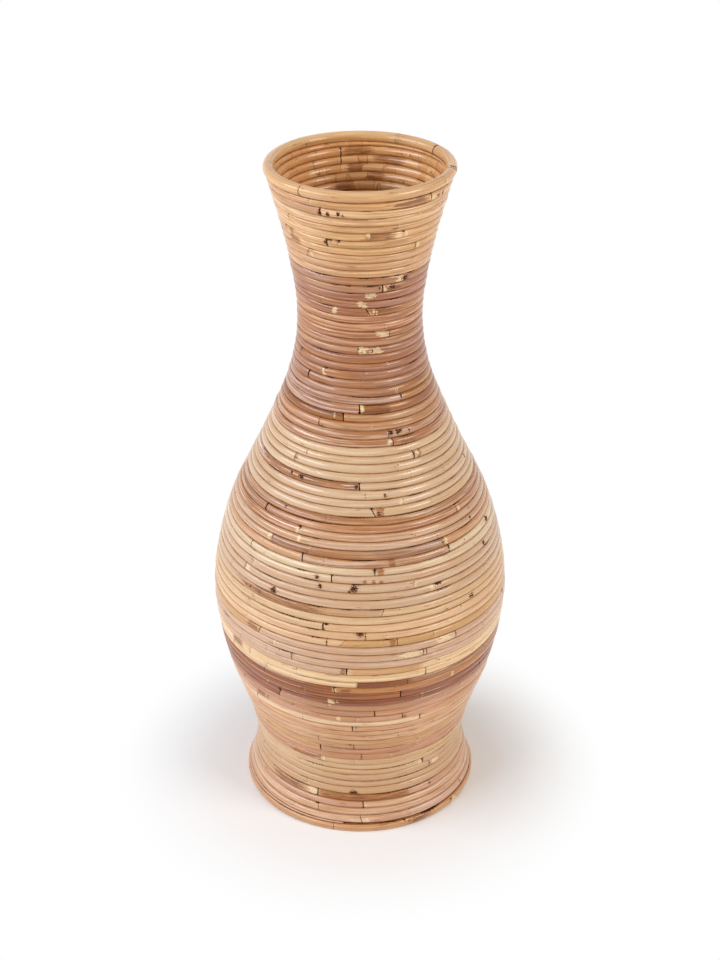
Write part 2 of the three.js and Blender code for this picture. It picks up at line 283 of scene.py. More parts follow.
def new_object(name, shape, finish):
    """An object at the origin from a bmesh, with one finish."""
    mesh = bpy.data.meshes.new(name)
    shape.to_mesh(mesh)
    shape.free()
    mesh.materials.append(finish)
    thing = bpy.data.objects.new(name, mesh)
    bpy.context.collection.objects.link(thing)
    return thing


def roll_cane(name, start, end, section, cuts, marks, skin_at, seats, finish, slot):
    """A cane rolled from a flat sheet and bent to its place. It runs between two turns, and
    section gives its middle, its outward and upward directions, its half sizes and its
    flatness at a turn. Its two cuts each have a gap, a rounding and the slant of the face,
    skin_at gives the colour of the skin at a turn, and seats tells whether the cane is seated
    on a neighbour below and above."""
    def girth(turn):
        return 2 * math.pi * section(turn)[0].x

    (start_gap, start_round, start_slant), (end_gap, end_round, end_slant) = cuts
    start_dark, end_dark = (min(0.9, 0.2 + 0.9 * gap) for gap in (start_gap, end_gap))
    first = start + start_gap / 2 / girth(start)
    last = end - end_gap / 2 / girth(end)
    stations = {}
    count = max(2, round((last - first) * girth((first + last) / 2) / RING_STEP))
    for i in range(1, count):
        stations[first + (last - first) * i / count] = 1.0
    for kind, turn, size, centre in marks:
        stretch = 1.0 if kind in ("cut", "node") else size
        for offset in MARK_RINGS[kind]:
            at = turn + offset * stretch / girth(turn)
            if first < at < last:
                stations[at] = 1.0
    apart = 1e-9                # turns, so that rings at one place keep their order
    for end_turn, way, length in ((first, 1, start_round), (last, -1, end_round)):
        clear = length + END_CLEARANCE
        for at in [at for at in stations if abs(at - end_turn) * girth(end_turn) < clear]:
            del stations[at]
        for i, (share, scale) in enumerate(ROUNDING):
            stations[end_turn + way * (share * length / girth(end_turn) + i * apart)] = scale
    rings = sorted(stations.items())
    rings = [ring for i, ring in enumerate(rings)
             if i < END_RINGS or i >= len(rings) - END_RINGS
             or ring[0] - rings[i - 1][0] > LEAST_STEP / girth(ring[0])]

    cane = bmesh.new()
    bmesh.ops.create_grid(cane, x_segments=len(rings) - 1, y_segments=SIDES, size=1.0)
    mark_layer = cane.verts.layers.float_color.new("marks")
    skin_layer = cane.verts.layers.float_color.new("skin")
    uv_map = cane.loops.layers.uv.new("cane")
    places = []
    run = 0.0
    for i, (turn, _) in enumerate(rings):
        if i:
            run += (turn - rings[i - 1][0]) * girth(turn) * MM
        near = [mark for mark in marks if abs(turn - mark[1]) * girth(turn)
                < MARK_REACH[0] + mark[2] * MARK_REACH[1]]
        places.append((run + RUN_SO_FAR[0], near, skin_at(turn)))
    uvs = {}
    for vertex in cane.verts:
        i = round((vertex.co.x + 1) / 2 * (len(rings) - 1))
        k = round((vertex.co.y + 1) / 2 * SIDES)
        turn, scale = rings[i]
        run_here, near, skin = places[i]
        around = 2 * math.pi * (k / SIDES - 0.25)
        deep, high = math.cos(around), math.sin(around)
        per_turn = girth(turn)
        slant = 0.0
        for end_turn, degrees in ((first, start_slant), (last, end_slant)):
            shift = math.tan(math.radians(degrees)) * CANE_THICKNESS / 2 * high
            slant += shift * fade((turn - end_turn) * per_turn, SLANT_REACH)
        turn += slant / per_turn
        middle, outward, up, half_deep, half_high, flatness = section(turn)
        swell = bark = pale = scar_and_seam_shade = 0.0
        for kind, at, size, centre in near:
            more = paint(kind, size, centre, (turn - at) * per_turn, around)
            swell += more[0]
            bark = max(bark, more[1])
            pale = max(pale, more[2])
            scar_and_seam_shade = max(scar_and_seam_shade, more[3])
        if scale < 0.95:
            scar_and_seam_shade = max(scar_and_seam_shade, start_dark if i < END_RINGS else end_dark)
        size = scale * (1 + swell)
        out = half_deep * size * math.copysign(abs(deep) ** flatness, deep)
        over = half_high * size * math.copysign(abs(high) ** flatness, high)
        point = middle + outward * out + up * over
        angle = math.radians(START_ANGLE - 360 * turn)
        vertex.co = Vector((point.x * math.sin(angle), -point.x * math.cos(angle),
                            max(0.0, point.y))) * MM
        vertex[mark_layer] = (bark, pale, scar_and_seam_shade, max(-high * seats[0], high * seats[1]))
        vertex[skin_layer] = skin
        uvs[vertex.index] = (run_here, k / SIDES * SEAM_GIRTH)
    for face in cane.faces:
        face.smooth = True
        for loop in face.loops:
            loop[uv_map].uv = uvs[loop.vert.index]
    RUN_SO_FAR[0] += run
    bmesh.ops.remove_doubles(cane, verts=cane.verts, dist=0.002 * MM)
    bmesh.ops.recalc_face_normals(cane, faces=cane.faces)
    piece = new_object(name + "_rattan", cane, finish)
    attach(piece, "root")
    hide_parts(name)


RUN_SO_FAR = [0.0]          # metres of cane rolled, so that no two canes share their grain
BUTT = (0.3, 0.4, 0)        # the gap, rounding and slant of a plain sawn end
tan_finish = rattan_finish("tan_rattan_lacquered", "b8845c", 0.75, "bd8048")


def foot_section(turn):
    """The section of the foot hoop at a turn, with a slight bow in or out."""
    bow = FOOT_BOW * noise.noise(Vector((turn * 6, 11.5, 0)))
    middle = Vector((FOOT_DIAMETER / 2 - CANE_DEPTH / 2 + bow, CANE_THICKNESS / 2))
    half_high = CANE_THICKNESS / 2 + FOOT_OVERLAP
    return middle, Vector((1, 0)), Vector((0, 1)), CANE_DEPTH / 2, half_high, FLATNESS


def hoop(canes, section, seats, finish, slot):
    """The canes of a level hoop, clockwise as seen from above: name, the degrees right of
    the front at which the cane ends, the cut there, its marks and the colour of its skin. A
    mark has its kind, its degrees, its size and its angle over the outer crest."""
    turns = [(START_ANGLE - degrees) / 360 for _, degrees, *_ in canes]
    starts = [turns[-1] - 1] + turns[:-1]
    cuts = [canes[-1][2]] + [cane[2] for cane in canes[:-1]]
    for (name, _, end_cut, marks, skin), start, start_cut, end in zip(canes, starts, cuts, turns):
        placed = []
        for kind, degrees, size, centre in marks:
            turn = (START_ANGLE - degrees) / 360
            turn -= round(turn - (start + end) / 2)
            placed.append((kind, turn, size, math.radians(centre)))
        colour = linear(skin)
        roll_cane(name, start, end, section, (start_cut, end_cut), placed, lambda turn: colour,
                  seats, finish, slot)


hoop((
    ("foot_hoop_front", -13, BUTT,
     [("hole", -37, 1.4, 20), ("bark", 31, 17, 60), ("crack_and_seam_shade", 38, 14, 70),
      ("hole", 22.5, 1.6, 60), ("hole", 25, 1.3, 30), ("hole", 33, 1.6, 70),
      ("hole", 28, 1.0, 50), ("stain", 12, 10, 75), ("hole", 52.5, 1.8, 20),
      ("scuff", 54.5, 4, -10), ("node", 95, 1, 1)], "d6aa82"),
    ("foot_hoop_back", -170, BUTT,
     [("node", -60, 1, 2), ("node", -120, 1, 3), ("hole", -80, 1.2, 30)], "d4a880"),
), foot_section, (0, 1), tan_finish, "tan_rattan")


# The foot panel
# A disc of thin plywood let into the foot hoop, flush with its underside, held from above
# by the first turn of the wall. Its edge is sawn and its faces are left bare.
PANEL_THICKNESS = 6.0
PANEL_GAP = 0.4
PLYS = 3
PANEL_SIDES = 96             # of its round outline

# Bare plywood: a flat pale figure with short open pores, and no gloss
plywood, tree = new_finish("birch_plywood_bare")
place = add_node(tree, "TexCoord", out="Object")
stretched = add_node(tree, "Mapping", {0: place, 3: (1000 / 60, 1000 / 3, 1000 / 60)})
figure = add_node(
    tree, "TexNoise", {"Vector": stretched, "Scale": 1.0, "Detail": 4.0, "Distortion": 0.6})
stretched = add_node(tree, "Mapping", {0: place, 3: (1000 / 7, 1000 / 0.6, 1000 / 7)})
pores = add_node(tree, "TexNoise", {"Vector": stretched, "Scale": 1.0, "Detail": 2.0})
grained = add_node(tree, "MapRange", (figure, 0.35, 0.65))
colour = add_node(
    tree, "Mix", {0: grained, 6: linear("b88f62"), 7: linear("d2b083")}, 2, data_type="RGBA")
grooves = add_node(tree, "Bump", {"Strength": 0.35, "Distance": 0.1 * MM, "Height": pores})
shader = add_node(
    tree, "BsdfPrincipled", {"Base Color": colour, "Roughness": 0.72, "Normal": grooves})
add_node(tree, "OutputMaterial", [shader])

panel = bmesh.new()
panel_radius = (FOOT_DIAMETER / 2 - CANE_DEPTH - PANEL_GAP) * MM
bmesh.ops.create_circle(panel, cap_ends=True, radius=panel_radius, segments=PANEL_SIDES)
for ply in range(PLYS):
    level = ply * PANEL_THICKNESS / PLYS * MM
    lid = max((face for face in panel.faces if abs(face.calc_center_median().z - level) < 1e-6),
              key=lambda face: face.calc_area())
    raised = bmesh.ops.extrude_face_region(panel, geom=[lid])
    bmesh.ops.translate(
        panel, vec=(0, 0, PANEL_THICKNESS / PLYS * MM),
        verts=[v for v in raised["geom"] if isinstance(v, bmesh.types.BMVert)])
    if ply:
        bmesh.ops.delete(panel, geom=[lid], context="FACES_ONLY")
rims = [edge for edge in panel.edges if edge.is_manifold and edge.calc_face_angle() > 1]
bmesh.ops.bevel(
    panel, geom=rims, offset=0.4 * MM, affect="EDGES", segments=2, profile=0.5, material=-1)
bmesh.ops.recalc_face_normals(panel, faces=panel.faces)
board = new_object("foot_panel_board", panel, plywood)
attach(board, "root")
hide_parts("foot_panel")


# The wall
# One spiral of round canes, 86 courses high, that climbs clockwise as seen from above.
# Each cane is glued and bradded to the course below it, and butted end to end with the
# next. The first and the last turn are planed to a wedge, so that foot and rim lie level.
RIM_DIAMETER = 209.4
RIM_CANE_THICKNESS = 12.0
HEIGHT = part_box("rim_cane_front")[1][2] / MM
WALL_SIZES = (               # outside diameter and height, from the foot up
    (FOOT_DIAMETER, CANE_THICKNESS / 2), (267.2, 30), (255.8, 64), (271, 110), (323, 190),
    (348.6, 278), (313.4, 376), (220, 480), (158, 560), (140.4, 626), (161.4, 704))
STEPS = 80                   # of the wall's curve between two of those
TIP_THICKNESS = 1.0          # of the first and the last cane at the thin end of its wedge
FIRST_TIP_ANGLE = -8.6       # degrees right of the front
LAST_TIP_ANGLE = 67.0
COURSE_OVERLAP = 0.3         # of a course into each of its neighbours, where they touch
RIM_OVERLAP = 0.2            # of the last course into the rim hoop, besides
WANDER = 0.8                 # of the line between two courses, up or down
BOW = 0.3                    # of a course, in or out
DEPTH_SPREAD = 0.05          # share by which a cane is deeper or shallower in places

knots = [Vector((diameter / 2 - CANE_DEPTH / 2, height)) for diameter, height in WALL_SIZES]
knots.append(Vector(((RIM_DIAMETER - RIM_CANE_THICKNESS) / 2, HEIGHT - RIM_CANE_THICKNESS / 2)))
# The middle line of the wall, a centripetal curve through the knots
wall = []
ends = [2 * knots[0] - knots[1], *knots, 2 * knots[-1] - knots[-2]]
for before, here, there, after in zip(ends, ends[1:], ends[2:], ends[3:]):
    t0, t1, t2 = (math.sqrt((b - a).length)
                  for a, b in ((before, here), (here, there), (there, after)))
    leave = ((here - before) / t0 - (there - before) / (t0 + t1) + (there - here) / t1) * t1
    arrive = ((there - here) / t1 - (after - here) / (t1 + t2) + (after - there) / t2) * t1
    for i in range(STEPS):
        t = i / STEPS
        wall.append((2 * t ** 3 - 3 * t ** 2 + 1) * here + (t ** 3 - 2 * t ** 2 + t) * leave
                    + (3 * t ** 2 - 2 * t ** 3) * there + (t ** 3 - t ** 2) * arrive)
wall.append(knots[-1])
lengths = [0.0]
for a, b in zip(wall, wall[1:]):
    lengths.append(lengths[-1] + (b - a).length)
slopes = [(b - a).normalized() for a, b in zip(wall, wall[1:])]
slopes.append(slopes[-1])

# The spiral has as many courses as fit between the foot hoop and the rim hoop, whose solids
# have sections of 8 sides
rim_reach = RIM_CANE_THICKNESS / 2 / math.cos(math.pi / 8)
spiral_bottom = CANE_THICKNESS / 2 + TOUCH_GAP / 2
spiral_top = lengths[-1] - rim_reach - TOUCH_GAP / 2
tip_turn = (TIP_THICKNESS + TOUCH_GAP) / (CANE_THICKNESS + TOUCH_GAP)
zero_angle = FIRST_TIP_ANGLE + 360 * tip_turn
part_turn = (zero_angle - LAST_TIP_ANGLE) / 360 + tip_turn
most_courses = (spiral_top - spiral_bottom) / (CANE_THICKNESS + TOUCH_GAP)
courses = math.floor(most_courses - part_turn) + part_turn
pitch = (spiral_top - spiral_bottom) / courses
first_turn = (TIP_THICKNESS + TOUCH_GAP) / pitch
last_turn = courses + 1 - first_turn
wall_top = lengths[-1] - RIM_CANE_THICKNESS / 2 + RIM_OVERLAP


def line_between(turn):
    """How far along the wall the line over a turn of the spiral lies. The last course is
    seated up to the rim hoop."""
    level = spiral_bottom + pitch * min(max(0.0, turn), courses)
    level += (wall_top - spiral_top) * min(1.0, max(0.0, turn - courses + 1))
    swing = WANDER * noise.noise(Vector((turn * 4.7, 2.5, 0.5))) * 2
    ease = min(1.0, max(0.0, turn)) * min(1.0, max(0.0, courses - turn))
    return level + swing * ease


def wall_section(turn):
    """The section of the spiral at a turn, seated between the courses below and above."""
    low = line_between(turn - 1)
    high = line_between(turn)
    along = (low + high) / 2
    i = min(max(bisect.bisect_right(lengths, along) - 1, 0), len(wall) - 2)
    share = (along - lengths[i]) / (lengths[i + 1] - lengths[i])
    up = slopes[i].lerp(slopes[i + 1], share).normalized()
    outward = Vector((up.y, -up.x))
    bow = BOW * noise.noise(Vector((turn * 3.1, 7.5, 0.5))) * 2
    depth = CANE_DEPTH / 2 * (1 + DEPTH_SPREAD * noise.noise(Vector((turn * 1.7, 9.5, 0.5))))
    middle = wall[i].lerp(wall[i + 1], share) + outward * bow
    return middle, outward, up, depth, (high - low) / 2 + COURSE_OVERLAP, FLATNESS


# The canes from the foot up: name, finish, the turn at which the cane ends, the look of the
# joint there, and the colour of its skin
WALL_CANES = (
    ("foot_cane_1", "tan", 1.133, "slanted", "dcb9a4"),
    ("foot_cane_2", "tan", 2.196, "butt", "dcb99d"),
    ("foot_cane_3", "tan", 3.13, "dark", "ebccaf"),
    ("foot_cane_4", "tan", 4.199, "dark", "cfa68d"),
    ("waist_cane_1", "straw", 8.035, "round", "ceac8a"),
    ("waist_cane_2", "straw", 10.193, "butt", "d9b790"),
    ("under_belly_cane_1", "tan", 12.19, "dark", "ce9c80"),
    ("under_belly_cane_2", "tan", 14.19, "butt", "d8ad80"),
    ("under_belly_cane_3", "tan", 17.144, "dark", "e7bc97"),
    ("under_belly_cane_4", "tan", 18.061, "round", "f7c99f"),
    ("under_belly_cane_pale", "straw", 18.5, "butt", "f2d3ae"),
    ("under_belly_cane_5", "tan", 20.118, "dark", "d6a484"),
    ("under_belly_cane_6", "tan", 21.232, "leaning", "bf9074"),
    ("dark_cane_1", "brown", 23.09, "dark", "a25e41"),
    ("dark_cane_2", "brown", 23.667, "butt", "c17847"),
    ("dark_cane_golden", "golden", 24.163, "dark", "c2895d"),
    ("dark_cane_3", "brown", 25.137, "tongue", "a15a2f"),
    ("low_straw_cane_1", "straw", 27.149, "dark", "f5d5aa"),
    ("low_straw_cane_2", "straw", 30.25, "leaning", "d6b59b"),
    ("low_straw_cane_3", "straw", 31.154, "hairline", "d0a674"),
    ("low_straw_cane_4", "straw", 33.174, "round", "e6c19a"),
    ("low_straw_cane_5", "straw", 35.111, "oblique", "dfbf98"),
    ("low_straw_cane_6", "straw", 39.167, "dark", "d5b79b"),
    ("low_straw_cane_7", "straw", 41.022, "round", "e3ccac"),
    ("belly_cane_1", "rosy", 41.204, "dark", "d8b79c"),
    ("belly_cane_tan_1", "tan", 42.026, "butt", "d7ac88"),
    ("belly_cane_2", "rosy", 42.25, "butt", "c2a78f"),
    ("belly_cane_tan_2", "tan", 44.214, "butt", "d7b79b"),
    ("belly_cane_3", "rosy", 45.275, "round", "deb492"),
    ("belly_cane_4", "rosy", 46.833, "butt", "d5b393"),
    ("high_straw_cane_1", "straw", 47.117, "slash", "d6b894"),
    ("high_straw_cane_2", "straw", 50.136, "dark", "d9bc9e"),
    ("high_straw_cane_bark", "bark", 50.55, "butt", "f7d9c3"),
    ("high_straw_cane_3", "straw", 53.04, "dark", "d9be9e"),
    ("high_straw_cane_4", "straw", 54.88, "butt", "dfc3a2"),
    ("shoulder_cane_1", "rosy", 55.074, "tongue", "d0a686"),
    ("shoulder_cane_2", "rosy", 56.6, "butt", "dfbb9d"),
    ("shoulder_cane_golden", "golden", 58.169, "dark", "caa282"),
    ("shoulder_cane_3", "rosy", 59.136, "dark", "6f4228"),
    ("shoulder_cane_4", "rosy", 61.05, "butt", "ceae9b"),
    ("neck_cane_1", "rosy", 62.27, "round", "b79079"),
    ("neck_cane_2", "rosy", 66.14, "butt", "b68c78"),
    ("neck_cane_3", "rosy", 68.06, "butt", "c69b7d"),
    ("neck_cane_4", "rosy", 71.115, "slash", "daa987"),
    ("neck_cane_5", "rosy", 74.083, "dark", "b6846d"),
    ("neck_cane_6", "rosy", 75.55, "butt", "b99178"),
    ("throat_cane_1", "honey", 78.25, "leaning", "e3b78c"),
    ("throat_cane_2", "honey", 80.2, "round", "e3b885"),
    ("throat_cane_3", "honey", 82.285, "slanted", "ebc08d"),
    ("throat_cane_4", "honey", 84.205, "round", "fcd5a5"),
    ("throat_cane_5", "honey", 85.0, "dark", "ebbf8a"),
    ("throat_cane_tip", "honey", 85.95, "butt", "eebc87"),
)
# A joint's look: the end of the lower cane and the start of the next, each with its gap,
# its rounding and its slant
JOINTS = {
    "butt": (BUTT, BUTT),
    "dark": ((0.8, 0.8, 4), (0.8, 0.6, 4)),
    "round": ((0.4, 3.2, 0), (0.8, 0.8, 0)),
    "tongue": ((0.3, 0.6, 0), (0.3, 6.0, 0)),
    "slanted": ((0.5, 0.4, 20), (0.5, 0.4, 20)),
    "leaning": ((0.5, 0.4, -22), (0.5, 0.4, -22)),
    "slash": ((0.8, 0.5, 32), (0.8, 0.5, 32)),
    "oblique": ((0.4, 0.4, -27), (0.4, 0.4, -27)),
    "hairline": ((0.3, 0.3, -45), (0.3, 0.3, -45)),
}
# Stretches of another tone within a cane: course, from and to in degrees right of the
# front, and colour
TONES = (
    (25, 19, 110, "d0a278"), (27, -5, 25, "d8ab7c"), (35, -45, 9, "c8a684"),
    (57, -110, -30, "c8977a"), (59, 22, 110, "a0704a"), (60, 34, 110, "bb9062"),
    (61, 30.5, 110, "bb9062"), (84, -80, -26, "cfa07c"), (78, -120, -42, "d8aa80"),
    (4, -23, 28, "aa7648"),
)
# Marks that the front of the vase shows, and the inside of its mouth: course, kind, from and
# to in degrees right of the front, and the angle over the outer crest at which the mark lies
FRONT_MARKS = (
    (1, "hole", 63, 64, 10), (1, "scuff", 1, 5, -40), (2, "hole", -24, -21.5, 60),
    (4, "bark", -23, 28, 0), (4, "hole", 40, 41, 10), (4, "bark", -55, -30, 0),
    (4, "scuff", -29, -23, 0), (4, "crack_and_seam_shade", -57, -54, 80), (4, "crack_and_seam_shade", -45, -30, 80),
    (4, "crack_and_seam_shade", 5, 45, 80), (5, "crack_and_seam_shade", -6, -1, -25), (6, "crack_and_seam_shade", 10, 50, 80),
    (7, "cut", 41, 41, 0), (7, "scuff", 42, 48, 0), (8, "scuff", 33, 36, 0),
    (8, "crack_and_seam_shade", 10, 36, 80), (8, "crack_and_seam_shade", -35, -15, 80), (9, "crack_and_seam_shade", 36, 46, 80),
    (10, "stain", -38, -21, 0), (10, "scuff", -20, -18, 0), (11, "cut", 0.7, 0.7, 0),
    (13, "cut", -3, -3, 0), (13, "crack_and_seam_shade", -6, -3, 65), (17, "cut", -1.8, -1.8, 0),
    (18, "cut", -51, -51, 0), (19, "cut", 18, 18, 0), (19, "stain", 18, 20, 0),
    (19, "cut", -43, -43, 0), (19, "bark", -50, -44, 0), (19, "scuff", -10, -8, 0),
    (20, "cut", -58, -58, 0), (21, "node", 36.5, 36.5, 0), (22, "node", -10, -10, 0),
    (22, "scuff", -13, -10, 0), (22, "hole", -35, -33, 0), (22, "cut", 59, 59, 0),
    (24, "scuff", -11, -9, 0), (24, "stain", -8, -3, 10), (24, "cut", -41, -41, 0),
    (24, "scuff", 38.5, 40, 0), (25, "cut", 18.5, 18.5, 0), (25, "cut", -60.5, -60.5, 0),
    (26, "node", 23, 23, 0), (26, "cut", 26, 26, 0), (26, "cut", -48, -48, 0),
    (26, "bark", -60, -52, 0), (27, "bark", -7.5, -5.5, 0), (28, "cut", -26.5, -26.5, 0),
    (28, "crack_and_seam_shade", -35, -25, 80), (29, "cut", 24.3, 24.3, 0), (29, "cut", 25.7, 25.7, 0),
    (29, "scuff", 14, 24, 20), (30, "bark", -48, -42, 0), (30, "cut", 39, 39, 0),
    (30, "scuff", 30, 38, 0), (31, "cut", -12.5, -12.5, 0), (31, "cut", 14, 14, 0),
    (31, "bark", 11, 13.5, 0), (31, "crack_and_seam_shade", -20, -13, 80), (31, "crack_and_seam_shade", 8, 12, 80),
    (32, "hole", -1.5, 1.5, 50), (32, "cut", 2, 2, 0), (32, "crack_and_seam_shade", -23, -14, 80),
    (33, "hole", -14, -12, 60), (33, "crack_and_seam_shade", -35, -15, 80), (34, "crack_and_seam_shade", 47, 50, 0),
    (35, "bark", -53, -12, 10), (35, "hole", -51, -50, 0), (35, "hole", -48.5, -47.5, 0),
    (35, "crack_and_seam_shade", -35, -27, 80), (35, "crack_and_seam_shade", -22, -12, 80), (35, "crack_and_seam_shade", -8, -2, 80),
    (35, "crack_and_seam_shade", 3, 10, 80), (36, "hole", -37.5, -34.5, 0), (36, "crack_and_seam_shade", 30, 38, 80),
    (37, "cut", -53.5, -53.5, 0), (37, "scuff", -53, -50, 0), (37, "scuff", 28.5, 30.5, 0),
    (37, "crack_and_seam_shade", 30.5, 35, 45), (37, "crack_and_seam_shade", -48, -30, 80), (38, "hole", -16.8, -15.2, 0),
    (38, "hole", -3.8, -1, 0), (38, "hole", -5, -3.4, -40), (38, "crack_and_seam_shade", 61, 70, 80),
    (38, "crack_and_seam_shade", -25, -15, 80), (38, "crack_and_seam_shade", -4, 1, 80), (39, "hole", -18.2, -16.8, 0),
    (39, "stain", 1, 3, -40), (39, "stain", 4.5, 6.5, -40), (39, "stain", 7.5, 9.5, -40),
    (39, "hole", 62, 64, 0), (39, "crack_and_seam_shade", -28, -22, 80), (40, "cut", -52.5, -52.5, 0),
    (40, "cut", 6, 6, 0), (40, "hole", 5.2, 7, 30), (40, "bark", 7, 10, -20),
    (41, "bark", 12, 15, 0), (41, "crack_and_seam_shade", -5, 9, 80), (41, "hole", 70, 73, 0),
    (42, "hole", 37.5, 38.7, 0), (42, "scuff", 38.5, 41, 0), (42, "scuff", -44, -42, 0),
    (42, "crack_and_seam_shade", 20, 27, 80), (42, "crack_and_seam_shade", 31, 40, 80), (42, "crack_and_seam_shade", 48, 60, 80),
    (43, "scuff", -29, -27, 0), (43, "hole", 57.5, 59, 0), (43, "crack_and_seam_shade", -22, -18, 80),
    (44, "hole", -29.5, -27.5, 50), (44, "scuff", -30.5, -28, -20), (44, "node", 60, 60, 0),
    (45, "cut", 51.5, 51.5, 0), (45, "scuff", 52, 54, 0), (45, "crack_and_seam_shade", -50, -40, 80),
    (45, "crack_and_seam_shade", -35, -10, 80), (45, "crack_and_seam_shade", 50, 58, 80), (46, "hole", -39.3, -37.7, 20),
    (46, "stain", -38, -33, 55), (46, "crack_and_seam_shade", -12, 6, 80), (46, "crack_and_seam_shade", 12, 45, 80),
    (47, "bark", 8, 12, -10), (47, "hole", 8, 10, -20), (48, "node", 22.5, 22.5, 0),
    (48, "scuff", 20, 22, 0), (48, "crack_and_seam_shade", 12, 17, 80), (48, "crack_and_seam_shade", 25, 35, 80),
    (49, "hole", 12.4, 13.8, 0), (49, "crack_and_seam_shade", -65, -45, 80), (49, "stain", 2, 25, 75),
    (50, "hole", -3.2, -0.8, 0), (50, "hole", -42, -40, 10), (50, "crack_and_seam_shade", -36, -32, 10),
    (50, "bark", -75, -2, 20), (50, "crack_and_seam_shade", -38, -2, 80), (52, "cut", -41.5, -41.5, 0),
    (52, "hole", -41, -40, 10), (53, "hole", 33.6, 35.2, 20), (53, "bark", 36, 40, 0),
    (53, "scuff", 36, 38, 30), (54, "crack_and_seam_shade", 20, 40, 80), (55, "crack_and_seam_shade", 20, 40, 80),
    (55, "scuff", 17, 22, 0), (55, "bark", 24, 40, 20), (56, "cut", 19.5, 19.5, 0),
    (56, "crack_and_seam_shade", 19.5, 23, 10), (56, "crack_and_seam_shade", 24, 30, 10), (56, "hole", 34.4, 35.6, 0),
    (57, "cut", -30, -30, 0), (57, "crack_and_seam_shade", -30, -25, -70), (58, "scuff", -20, -18, 20),
    (58, "hole", -19.8, -18.2, -50), (58, "crack_and_seam_shade", 2, 20, 80), (59, "scuff", -0.5, 3, 30),
    (59, "crack_and_seam_shade", 0, 14, 80), (59, "stain", 12, 22, 70), (60, "hole", 33, 35, 20),
    (60, "cut", 34, 34, 0), (60, "crack_and_seam_shade", -12, 25, 80), (61, "scuff", 29.5, 31.5, 0),
    (62, "crack_and_seam_shade", -40, -28, -80), (62, "crack_and_seam_shade", -31, -20, 80), (63, "node", -32, -32, 0),
    (63, "scuff", -34, -31, 0), (63, "crack_and_seam_shade", -34, -29, 70), (63, "crack_and_seam_shade", 45, 62, 80),
    (64, "cut", -65, -65, 0), (64, "bark", -69, -60, 0), (65, "crack_and_seam_shade", -56, -8, 80),
    (66, "scuff", -4, 8, 10), (66, "hole", -2, -0.5, 20), (66, "hole", 1, 3, -10),
    (66, "hole", 10, 12, 10), (66, "scuff", 8, 22, 0), (68, "scuff", 14, 20, 45),
    (68, "scuff", 17, 25, 0), (68, "scuff", 21, 29, -45), (71, "scuff", 7, 10, -40),
    (71, "bark", 9.5, 40, 0), (71, "scuff", 11, 13, 10), (71, "scuff", 14, 15.5, -20),
    (71, "scuff", -25, -20, 10), (71, "crack_and_seam_shade", -40, -22, 80), (71, "crack_and_seam_shade", 5, 30, 80),
    (72, "scuff", -2.5, 3, 30), (72, "scuff", 1, 6, -20), (72, "crack_and_seam_shade", 20, 40, 80),
    (72, "crack_and_seam_shade", -12, -9, 80), (73, "scuff", 4, 14, 35), (73, "hole", 8, 9.5, -40),
    (73, "hole", 11, 13, -40), (73, "crack_and_seam_shade", -12, -5, 80), (74, "hole", 15, 17, 20),
    (74, "scuff", 18, 22, 0), (74, "bark", 22, 35, 0), (74, "crack_and_seam_shade", 24, 30, 20),
    (74, "crack_and_seam_shade", -24, -17, 80), (74, "crack_and_seam_shade", -12, -7, 80), (74, "crack_and_seam_shade", 5, 14, 80),
    (75, "scuff", 30, 38, 0), (75, "hole", 30.8, 32.2, 60), (75, "crack_and_seam_shade", 35, 42, 0),
    (75, "crack_and_seam_shade", -45, -20, 80), (75, "crack_and_seam_shade", -5, 12, 80), (75, "crack_and_seam_shade", 15, 24, 80),
    (75, "crack_and_seam_shade", 28, 35, 80), (75, "crack_and_seam_shade", 40, 50, 80), (78, "stain", -40, -36, 50),
    (78, "scuff", -39, -36, -10), (79, "cut", 43.5, 43.5, 0), (79, "scuff", 44.5, 48, 0),
    (79, "bark", -60, -47, 0), (80, "hole", -25.5, -23.5, 10), (80, "crack_and_seam_shade", -23, -19, 60),
    (80, "crack_and_seam_shade", -17, -13, 60), (80, "bark", -64, -62, 0), (80, "bark", -57, -53, 0),
    (81, "bark", 2.5, 24, 0), (81, "stain", 8, 15, -70), (81, "scuff", 4, 7, 40),
    (81, "scuff", 24, 30, 0), (81, "hole", 29.5, 31.5, 50), (81, "scuff", 31.5, 34, 0),
    (84, "hole", -26.8, -24, 0), (84, "crack_and_seam_shade", -21.5, -18.5, -10), (84, "crack_and_seam_shade", -15, -12, 10),
    (84, "hole", -11, -10, 0), (85, "bark", 20, 48, -40), (85, "scuff", 47, 53, 0),
    (85, "hole", 55, 57, 0), (85, "hole", 60, 62, 0), (84, "cut", -166, -166, 0),
    (84, "bark", -190, -167, 180), (83, "cut", -166, -166, 0), (82, "bark", -183, -170, 180),
    (84, "hole", -167, -165.6, 150), (84, "hole", -167, -165.6, -160),
    (83, "bark", -215, -190, 170), (81, "bark", -200, -186, 180), (80, "bark", -176, -160, 180),
)
SEEN = 74                    # degrees to either side of the front that the marks above cover
NODE_SPACING = (160, 330)    # between two nodes of a cane, where no mark is given
MARK_SPACING = (60, 260)     # between two other marks on the stretches out of sight
NODE_CLEARANCE = 14          # between a node and any other mark
FIRST_CUT = (0.3, 0.3, 0)    # of the thin end of the first cane
TONE_SHARPNESS = 150         # at the ends of a stretch of another tone

